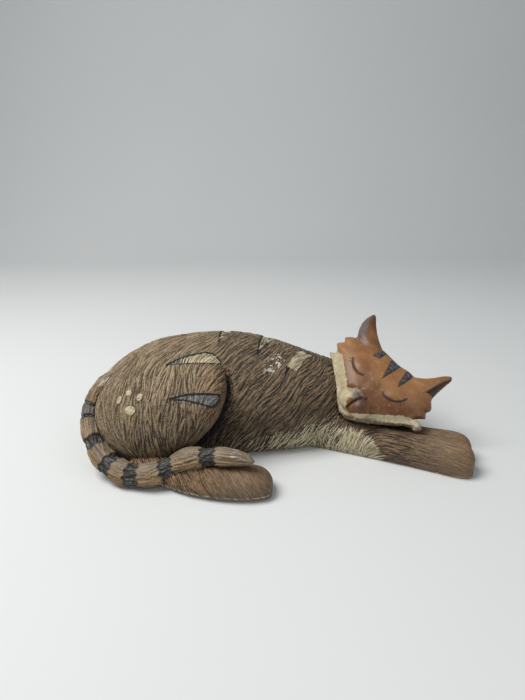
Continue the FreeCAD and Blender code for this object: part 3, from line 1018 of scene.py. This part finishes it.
def tail_finish():
    """Ochre sleeves with wood-grain strokes, and black bands with grey on their ridges."""
    finish, tree, skin = new_finish("banded_tail")
    rest, lay = kept(tree, "rest"), kept(tree, "lay")
    fibres = combed(tree, rest, lay, *FIBRES)
    grit = speckle(tree, rest, 2600)
    blotch = speckle(tree, rest, 90, 3.0)
    band, fill, edge = parts_of(tree, kept(tree, "paint", 0))
    pale_patch_and_highlight = kept(tree, "paint", 3)
    top, end, bare = parts_of(tree, kept(tree, "shade", 0))
    ridge = mixed(tree, fibres, 0.8, blotch, 0.2)
    ochre = blend(tree, ridge, (0.060, 0.034, 0.016, 1), (0.400, 0.260, 0.130, 1))
    upper = blend(tree, ridge, (0.100, 0.074, 0.052, 1), (0.300, 0.235, 0.170, 1))
    clay_tone = blend(tree, times(tree, top, 0.75), ochre, upper)
    clay_tone = blend(tree, times(tree, end, 0.5), clay_tone, upper)
    grey = blend(tree, ridge, (0.035, 0.032, 0.028, 1), (0.210, 0.200, 0.180, 1))
    clay_tone = blend(tree, fill, clay_tone, grey)
    dark = blend(tree, spread(tree, ridge, 0.45, 0.95), (0.012, 0.010, 0.008, 1),
                 (0.150, 0.145, 0.135, 1))
    clay_tone = blend(tree, band, clay_tone, dark)
    clay_tone = blend(tree, times(tree, edge, 0.85), clay_tone, (0.012, 0.010, 0.008, 1))
    # Pale paint at the root, and on the top of the tip pale rubbed paint with a painted highlight.
    clay_tone = blend(tree, brushed(tree, pale_patch_and_highlight, ridge, 0.6), clay_tone, (0.62, 0.56, 0.46, 1))
    clay_tone = blend(tree, bare, clay_tone, (0.55, 0.50, 0.42, 1))
    tree.links.new(clay_tone, skin.inputs["Base Color"])
    tree.links.new(spread(tree, ridge, 0.0, 1.0, 0.72, 0.50), skin.inputs["Roughness"])
    raised(tree, skin, plus(tree, fibres, times(tree, grit, 0.12)), 0.5, 0.0004)
    return finish


comb(tail, 0.00085, FIBRES)
finished(tail, tail_finish(), "banded_tail", "tail")

# %% [markdown]
# ## The head's own measures
# The face lies in a tilted plane, so it is worked on with its own right, up and outward
# directions. A face drawn flat and thrown on the clay from the front, as by a lantern, lands
# where it should whatever the swell of the cheeks is, so each point of the head is asked where
# the lantern's ray through it meets the face's plane.

# %% The lantern
FACE_TILT = math.radians(49.1)
FACE_TURN = math.radians(7.1)
FACE_ROLL = math.radians(42.5)
level = np.array([math.cos(FACE_TURN), -math.sin(FACE_TURN), 0])
outward = np.array([-math.sin(FACE_TURN) * math.cos(FACE_TILT),
                    -math.cos(FACE_TURN) * math.cos(FACE_TILT), math.sin(FACE_TILT)])
steep = np.cross(outward, level)
rightward = level * math.cos(FACE_ROLL) - steep * math.sin(FACE_ROLL)
upward = steep * math.cos(FACE_ROLL) + level * math.sin(FACE_ROLL)
FACE = at("head_shell", 0.382, 0.297, 0.621)
LANTERN = np.array(EYE)


def thrown(points):
    """Right and up of each point in the flat drawing, in millimetres, and its height over it."""
    ray = points - LANTERN
    reach = ((FACE - LANTERN) @ outward) / (ray @ outward)
    flat = LANTERN + ray * reach[:, None] - FACE
    return flat @ rightward * 1000, flat @ upward * 1000, (points - FACE) @ outward * 1000


print("face", FACE.round(4).tolist(), "outward", outward.round(3).tolist())

# %% Drawing on the face
def flowing(corners, steps=28):
    """A smooth line through a few corners."""
    corners = np.array(corners, float)
    run = np.concatenate([[0], np.cumsum(np.linalg.norm(np.diff(corners, axis=0), axis=1))])
    order = min(3, len(corners) - 1)
    at_step = np.linspace(0, run[-1], steps)
    return np.stack([np.polyval(np.polyfit(run, corners[:, axis], order), at_step)
                     for axis in range(2)], 1)


def off_line(u, v, drawn_line):
    """How far each point is from a drawn line, and at what share of it."""
    here = np.stack([u, v], 1)
    gap, share = np.full(len(u), 1e9), np.zeros(len(u))
    for number, (start, end) in enumerate(zip(drawn_line[:-1], drawn_line[1:])):
        slide, far = nearest_on(here, start, end - start)
        closer = far < gap
        share = np.where(closer, (number + slide) / (len(drawn_line) - 1), share)
        gap = np.minimum(gap, far)
    return gap, share


# %% [markdown]
# ## Ears
# Each ear is a curved horn. It is cast, then drawn out level by level until its two edges follow a
# drawn outline, and its root is pressed into the head so that it grows out of the forehead without
# a step. Later its outer side is scooped, as with a loop tool, and takes a dark wash; in the lower
# ear's hollow, which faces down, it is painted near black, partly as painted shade.

# %% Drawing out the ears
EAR_SHAPES = {
    "upper_ear": [(18.0, -32.5, -9.5), (21.0, -33.8, -10.8), (25.3, -36.4, -13.8),
                  (28.0, -37.6, -18.6), (31.3, -38.5, -23.8), (36.8, -38.8, -29.8),
                  (40.8, -37.7, -33.4), (42.5, -36.6, -35.4)],
    "lower_ear": [(17.0, 12.0, 32.6), (20.4, 13.2, 33.0), (24.2, 15.0, 33.2), (27.1, 19.5, 33.3),
                  (31.9, 23.8, 33.5), (37.6, 27.6, 33.9), (40.3, 30.6, 33.0)],
}


def drawn_out(points, shape):
    """Moves an ear's points so that its edges, seen from the front, follow a drawn outline."""
    rise, first, last = np.array(shape).T
    r, u, _ = thrown(points)
    new_u = rise[0] + (u - rise[0]) * (rise[-1] - rise[0]) / (u.max() - rise[0])
    steps = np.linspace(u.min(), u.max(), 30)
    number = np.clip(np.searchsorted(steps, u) - 1, 0, 28)
    low = np.array([r[number == step].min() for step in range(29)])
    high = np.array([r[number == step].max() for step in range(29)])
    mids = (steps[:-1] + steps[1:]) / 2
    left, right = np.interp(u, mids, low), np.interp(u, mids, high)
    share = (r - left) / np.maximum(right - left, 1.2)
    new_r = np.interp(new_u, rise, first) + share * np.interp(new_u, rise, last - first)
    amount = rising(u, rise[0] - 3, rise[0] + 3)
    return points + (((new_r - r) * amount)[:, None] * rightward
                     + ((new_u - u) * amount)[:, None] * upward) / 1000


EAR_SINK = 0.0040
ears = {}
for node, shape in EAR_SHAPES.items():
    ear = recast(clay_of(node), node + "_horn", grain=0.00040)
    points = sponged(ear.data, points_of(ear.data), 3)
    points = sponged(ear.data, drawn_out(points, shape), 3)
    root = falling(thrown(points)[1], 16, 25)
    set_points(ear.data, shifted(points, -EAR_SINK * root, outward))
    ears[node] = ear
print("ears", list(ears))

# %% [markdown]
# ## Head
# The head is a wide shield with a pointed chin, ragged tufts at the cheeks and a blunt muzzle.
# Its rim is pulled out or in to a drawn outline, and so is the ruff's. Head, ruff and ears are
# then cast together once as a guide whose joins are sponged hard, and each piece settles on it.
# Last the closed eyes, the mouth and the edges of the stripes are cut as grooves, and the lids,
# the bridge of the nose and the pads of the muzzle are swelled, all from the one flat drawing.

# %% The face's drawing
EYES = [
    flowing([(-23.9, 6.4), (-20.4, 2.3), (-16.1, 0.1), (-12.5, 0.0), (-9.5, 1.2)]),
    flowing([(8.1, 0.4), (11.1, -0.6), (15.6, -0.1), (19.6, 3.0), (21.6, 7.5)]),
]
LASHES = [
    flowing([(-23.4, 5.4), (-25.8, 4.6)], 3), flowing([(-22.2, 4.0), (-24.6, 2.6)], 3),
    flowing([(19.9, 3.2), (21.6, 1.4)], 3), flowing([(21.0, 5.2), (23.0, 3.8)], 3),
]
MOUTH = flowing([(0.6, -12.6), (-0.9, -15.2), (-1.6, -18.5), (-1.9, -22.0), (-1.6, -24.6)])
NOSE_UNDER = flowing([(-2.9, -10.9), (-0.8, -12.6), (1.2, -12.5), (3.6, -10.2)])
STRIPES = [
    [(-16.4, 23.4), (-12.8, 26.0), (-9.4, 26.0), (-10.6, 18.2), (-15.0, 17.0)],
    [(-4.6, 26.0), (4.0, 26.0), (0.7, 8.2)],
    [(8.2, 26.0), (14.6, 26.0), (13.2, 14.9), (12.0, 11.0), (10.4, 15.0)],
]
CROWN = [(-12.3, 25.4), (-8.4, 24.4), (-4.5, 23.8), (3.0, 23.2), (7.9, 24.2), (13.7, 24.4)]
LEFT_CHEEK = [(0.0, -34.5), (3.8, -36.5), (6.2, -39.7), (9.0, -38.2), (10.9, -36.0), (13.0, -38.4),
              (14.8, -39.4), (16.5, -38.8), (19.0, -35.6), (22.0, -33.5)]
RIGHT_CHEEK = [(-0.5, 33.6), (2.5, 36.0), (5.0, 39.0), (7.0, 37.6), (8.6, 36.2), (11.0, 37.6),
               (12.9, 37.6), (15.9, 35.2), (18.0, 33.5), (21.0, 32.8)]
COLLAR = [(-38.0, -2.8), (-33.3, -5.1), (-21.9, -15.1), (-8.0, -26.8), (-3.3, -30.0), (1.0, -30.2),
          (6.9, -26.7), (15.2, -21.5), (22.4, -15.6), (29.2, -9.5), (36.7, -5.9)]


def pulled(points, across, out_along, arrow, rim_line, start):
    """Brings the rim seen from the front to a drawn line, from a start inside it."""
    places, goals = np.array(rim_line).T
    side = 1 if goals.mean() > np.mean(start) else -1
    steps = np.linspace(places[0], places[-1], 33)
    number = np.digitize(across, steps)
    found = [step for step in range(1, 33) if (number == step).any()]
    rim = [(side * out_along[number == step]).max() for step in found]
    middles = [(steps[step - 1] + steps[step]) / 2 for step in found]
    rim_at = side * np.interp(across, middles, rim)
    share = np.clip((out_along - start) / (rim_at - start), 0, 1) ** 1.6
    fade = rising(across, places[0] - 3, places[0] + 1)
    fade *= falling(across, places[-1] - 1, places[-1] + 3)
    move = np.clip(np.interp(across, places, goals) - rim_at, -6, 6) * share * fade
    print("rim moved", move.min().round(1), move.max().round(1))
    return shifted(points, move / 1000, arrow)


def softened(points):
    """Where the joins of the head are sponged most: all but the tips of ears and tufts."""
    r, u, _ = thrown(points)
    collar = np.interp(r, *np.array(COLLAR).T)
    return (falling(abs(r), 31, 35) * falling(u, 27, 31)
            * rising(u - collar, 1.5, 4.5))


# %% Head
head_clay = clay_of("head_shell")
neck = Vector(FACE) + Vector(outward) * -0.030 + Vector(rightward) * -0.0062
plug(head_clay, neck - Vector(outward) * 0.0015, neck + Vector(outward) * 0.004, 0.0098)
head = recast(head_clay, "head_mask", grain=0.00044, hollow=True)
points = sponged(head.data, points_of(head.data), 4)
for outline in (LEFT_CHEEK, RIGHT_CHEEK):
    r, u, _ = thrown(points)
    points = pulled(points, u, r, rightward, outline, 24 * np.sign(outline[0][1]))
r, u, _ = thrown(points)
points = pulled(points, r, u, upward, CROWN, 6)
set_points(head.data, points)
ruff = recast(clay_of("cheek_ruff"), "cream_ruff", grain=0.00042)
points = sponged(ruff.data, points_of(ruff.data), 4)
r, u, _ = thrown(points)
chin = np.interp(r, [-30, -1.6, 33], [4.0, -24.0, 2.0])
set_points(ruff.data, pulled(points, r, u, upward, COLLAR, chin))
whole_head = bmesh.new()
for piece in (head, ruff, *ears.values()):
    whole_head.from_mesh(piece.data)
head_guide = guide_of(whole_head, grain=0.00075, rounds=3, softer=softened)
mesh = head.data
points, normals, _ = settled(mesh, head_guide, tight=True)
set_points(mesh, points)
r, u, h = thrown(points)
front = rising((normals * unit(LANTERN - points)).sum(1), 0.05, 0.35)

SWELLINGS = {
    "left lid": (0.9, (-16.5, 5.0), (8.5, 5.6), -8),
    "right lid": (0.9, (15.2, 4.6), (8.0, 5.6), 8),
    "bridge": (1.1, (-0.5, -4.0), (5.0, 13.0), 0),
    "left pad": (0.9, (-5.0, -17.2), (4.4, 6.0), -14),
    "right pad": (1.1, (3.2, -17.2), (4.6, 6.2), 12),
    "nose": (0.9, (0.2, -10.8), (3.8, 2.3), 0),
}
lift = sum(height * mound(r, u, *place) for height, *place in SWELLINGS.values())
ink = np.zeros(len(points))
for eye_line in EYES:
    gap, share = off_line(r, u, eye_line)
    taper = 0.45 + 0.55 * np.sin(np.pi * np.clip(share, 0.02, 0.98))
    lift -= 0.85 * taper * np.exp(-(gap / 0.62) ** 2)
    ink = np.maximum(ink, np.exp(-(gap / 0.80) ** 4) * (0.70 + 0.30 * taper))
CUTS = [(lash, 0.15, 0.45, 0.75, 0.40) for lash in LASHES]
CUTS += [(MOUTH, 1.5, 0.75, 1.0, 0.70), (NOSE_UNDER, 0.7, 0.55, 0.9, 0.60)]
for cut_line, cut_depth, width, darkness, ink_width in CUTS:
    gap, _ = off_line(r, u, cut_line)
    lift -= cut_depth * np.exp(-(gap / width) ** 2)
    ink = np.maximum(ink, darkness * np.exp(-(gap / ink_width) ** 2))
hatch = np.zeros(len(points))
crown = rising(h, -9.0, -4.0)
for stripe in STRIPES:
    patch, depth = drawn(r, u, stripe, 0.25)
    rim = np.exp(-((depth - 0.1) / 0.38) ** 2)
    lift -= 0.42 * rim * crown
    ink = np.maximum(ink, 0.95 * rim * crown)
    hatch = np.maximum(hatch, patch * crown)
lift *= front
points = shifted(points, lift / 1000, normals)
set_points(mesh, sponged(mesh, points, 1))
print("head points", len(points))

# %% The face's colours
MASK_EDGE = np.array([(-30, 2.4), (-27.7, 0.4), (-15.8, -9.0), (-7.7, -17.0), (-1.6, -25.6),
                      (1.5, -25.8), (4.4, -23.9), (16.6, -12.8), (27.7, -2.6), (33.1, -0.5)])
edge_at = np.interp(r, *MASK_EDGE.T) + 0.35 * np.sin(1.9 * r) * np.sin(0.7 * r)
below_mask = rising(edge_at - u, -0.8, 1.0)
left_pad = mound(r, u, (-6.6, -14.5), (6.0, 10.5), -20) ** 0.8
right_pad = mound(r, u, (3.4, -17.2), (4.8, 8.2), 10) ** 0.4
smear = mound(r, u, (-3.4, -12.8), (3.6, 5.4), 20) ** 0.6
cream = np.maximum(below_mask * front, 0.80 * left_pad * front)
side = falling(h, -11.5, -6.5)
# Painted shade: low deepens the orange towards the lower right of the face, where it turns from the
# light; the glaze there is partly a deeper orange of its own.
low = falling(u - 0.25 * r, -10.0, 18.0)
keep(mesh, rest=points, paint=(cream, hatch * front, ink * front, smear * front),
     shade=(low, right_pad * front, side))


def face_finish():
    """Rubbed orange glaze over pale clay, with dark ink in the cuts."""
    finish, tree, skin = new_finish("orange_face")
    rest = kept(tree, "rest")
    cloud = speckle(tree, rest, 60, 4.0)
    fine = speckle(tree, rest, 420, 3.0)
    grit = speckle(tree, rest, 2600)
    cream, hatch, ink = parts_of(tree, kept(tree, "paint", 0))
    smear = kept(tree, "paint", 3)
    low, pad, side = parts_of(tree, kept(tree, "shade", 0))
    cloudy = spread(tree, cloud, 0.35, 0.65, -0.10, 0.45)
    # The stored low, with a random cloud, darkens the glaze: partly its own deeper orange, partly
    # painted shade on the lower right.
    deep = plus(tree, times(tree, low, 0.70), cloudy, use_clamp=True)
    glaze = blend(tree, deep, (0.330, 0.152, 0.050, 1), (0.118, 0.036, 0.004, 1))
    rubbed = spread(tree, fine, 0.56, 0.72, 0.0, 0.4)
    glaze = blend(tree, rubbed, glaze, (0.42, 0.25, 0.14, 1))
    glaze = blend(tree, times(tree, side, 0.55), glaze, (0.085, 0.030, 0.012, 1))
    glaze = blend(tree, times(tree, pad, 0.88), glaze, (0.070, 0.024, 0.011, 1))
    pale = blend(tree, fine, (0.270, 0.205, 0.105, 1), (0.640, 0.560, 0.375, 1))
    glaze = blend(tree, brushed(tree, cream, fine, 0.8), glaze, pale)
    glaze = blend(tree, times(tree, smear, 0.8), glaze, (0.092, 0.090, 0.092, 1))
    slate = blend(tree, spread(tree, fine, 0.40, 0.62), (0.014, 0.014, 0.017, 1),
                  (0.095, 0.094, 0.100, 1))
    glaze = blend(tree, hatch, glaze, slate)
    glaze = blend(tree, ink, glaze, (0.020, 0.010, 0.006, 1))
    tree.links.new(glaze, skin.inputs["Base Color"])
    tree.links.new(spread(tree, fine, 0.3, 0.7, 0.48, 0.62), skin.inputs["Roughness"])
    skin.inputs["Specular IOR Level"].default_value = 0.35
    skin.inputs["Coat Weight"].default_value = 0.55
    skin.inputs["Coat Roughness"].default_value = 0.44
    height = plus(tree, fine, times(tree, grit, 0.2))
    raised(tree, skin, height, 0.22, 0.0004)
    return finish


FACE_GLAZE = face_finish()
finished(head, FACE_GLAZE, "face_orange", "head_shell")

# %% Scooping the ears
SCOOPS = {
    "upper_ear": (-1, 1.7, [(16.0, -27.0), (20.1, -31.0), (26.2, -31.0), (31.0, -33.4),
                            (36.1, -36.8), (42.0, -37.4)]),
    "lower_ear": (1, 2.6, [(16.0, 25.6), (17.5, 26.2), (24.3, 28.0), (32.7, 29.8), (37.5, 31.8),
                           (41.6, 32.8)]),
}


def scooped(node, side, depth, divide):
    """Hollows and paints one ear on its outer side, beyond a dividing line."""
    ear = ears[node]
    mesh = ear.data
    points, normals, _ = settled(mesh, head_guide, tight=True)
    set_points(mesh, points)
    r, u, _ = thrown(points)
    rise, edge = np.array(divide).T
    beyond = side * (r - np.interp(u, rise, edge))
    front = rising((normals * unit(LANTERN - points)).sum(1), -0.35, 0.05)
    scoop = rising(beyond, -0.2, 0.9) * front
    middle_height = np.sin(np.pi * np.clip((u - 16) / 25, 0.05, 0.95))
    lift = -depth * scoop * middle_height
    lift += 0.3 * np.exp(-((beyond + 0.7) / 0.8) ** 2) * front
    points = shifted(points, lift / 1000, normals)
    points = sponged(mesh, points, 1)
    set_points(mesh, points)
    zero = np.zeros(len(points))
    if side < 0:
        low, dark = 0.55 + 0.45 * rising(u, 24, 38), zero
        smoke = 0.95 * rising(beyond, -4.0, 1.5) * front
    else:
        low, dark, smoke = zero + 0.15, 0.97 * scoop, zero
    # Painted shade: the lower ear's hollow faces down and is painted near black, partly a dark wash
    # and partly shade.
    keep(mesh, rest=points, paint=(zero, zero, dark, smoke), shade=(low, zero, zero))
    finished(ear, FACE_GLAZE, "face_orange", node)


for node, scoop in SCOOPS.items():
    scooped(node, *scoop)

# %% [markdown]
# ## Ruff
# Under the cheeks a thick rope of cream slip stands out like a collar. It was dabbed on, so its
# edge waves, its top is cut with short strokes that point away from the face, and its underside
# keeps a brown wash, which is partly painted shade.

# %% Ruff
DABS = (800, 0.0045, 5, 0.38, 0.62)
mesh = ruff.data
points, normals, _ = settled(mesh, head_guide, tight=True)
r, u, _ = thrown(points)
radial = points - (FACE + 0.006 * upward)
radial = unit(radial - (radial * normals).sum(1)[:, None] * normals)
angle = np.arctan2(u - 6, r)
wave = 0.10 * np.sin(34 * angle + 0.8) + 0.09 * np.sin(57 * angle)
edge_out = rising((normals * unit(points - FACE)).sum(1), 0.2, 0.8)
points = shifted(points, (wave * edge_out + 0.15) / 1000, normals)
set_points(mesh, points)
# Painted shade: the ruff's underside, facing away from the face and downwards, takes a brown wash
# that stands partly for the shade there.
wash_and_shade = np.maximum(rising(-(normals @ outward), -0.15, 0.55),
                   0.9 * rising(-normals[:, 2], -0.25, 0.45))
zero = np.zeros(len(points))
keep(mesh, rest=points, lay=radial, out=normals, relief=zero + 1, shade=(wash_and_shade, zero, zero))


def slip_finish():
    """Thick cream slip, dabbed and stroked, with a brown wash, partly painted shade, where it turns
    under and in pinholes.
    """
    finish, tree, skin = new_finish("cream_slip")
    rest, lay = kept(tree, "rest"), kept(tree, "lay")
    strokes = combed(tree, rest, lay, *DABS)
    fine = speckle(tree, rest, 520, 3.0)
    grit = speckle(tree, rest, 2600)
    wash_and_shade, _, _ = parts_of(tree, kept(tree, "shade", 0))
    ridge = mixed(tree, strokes, 0.6, fine, 0.4)
    slip = blend(tree, ridge, (0.270, 0.205, 0.105, 1), (0.650, 0.570, 0.385, 1))
    wash_and_shade_colour = blend(tree, ridge, (0.060, 0.036, 0.018, 1), (0.210, 0.150, 0.085, 1))
    slip = blend(tree, times(tree, wash_and_shade, 0.9), slip, wash_and_shade_colour)
    tree.links.new(slip, skin.inputs["Base Color"])
    skin.inputs["Roughness"].default_value = 0.62
    raised(tree, skin, plus(tree, strokes, times(tree, grit, 0.2)), 0.4, 0.0004)
    return finish


comb(ruff, 0.00012, DABS)
SLIP = slip_finish()
finished(ruff, SLIP, "cream_slip", "cheek_ruff")

# %% [markdown]
# ## Paw mark
# Four dabs of thick slip on the thigh read as a paw print. Slip dries with a slightly sunken
# middle and a few pinholes, so each dab is dished and two are pricked.

# %% Paw mark
dabs = recast(clay_of("paw_mark_dots"), "paw_mark", grain=0.00024)
DAB_MIDDLES = np.array([at("paw_mark_dots", *share) for share in (
    (0.890, 0.48, 0.79), (0.453, 0.84, 0.87), (0.105, 0.757, 0.543), (0.558, 0.159, 0.22))])
PINHOLES = [at("paw_mark_dots", 0.86, 0.46, 0.72), at("paw_mark_dots", 0.10, 0.73, 0.60)]
mesh = dabs.data
points = sponged(mesh, points_of(mesh), 3)
set_points(mesh, points)
normals = normals_of(mesh)
from_middle = np.linalg.norm(points[:, None] - DAB_MIDDLES[None], axis=2).min(1)
lift = -0.28 * np.clip(1 - (from_middle / 0.0022) ** 2, 0, 1)
pricked = np.zeros(len(points))
for hole in PINHOLES:
    away = np.linalg.norm(points - hole, axis=1)
    pricked = np.maximum(pricked, np.exp(-(away / 0.0007) ** 2))
lift += -0.55 * pricked + 0.12 * np.sin(2600 * points[:, 0]) * np.sin(2300 * points[:, 2])
points = shifted(points, lift / 1000, normals)
set_points(mesh, sponged(mesh, points, 1))
# The pinholes take the slip's brown wash as painted shade.
keep(mesh, rest=points, lay=unit(np.cross(normals, (0.3, 0.1, 1.0))), shade=(pricked,) * 3)
finished(dabs, SLIP, "cream_slip", "paw_mark_dots")
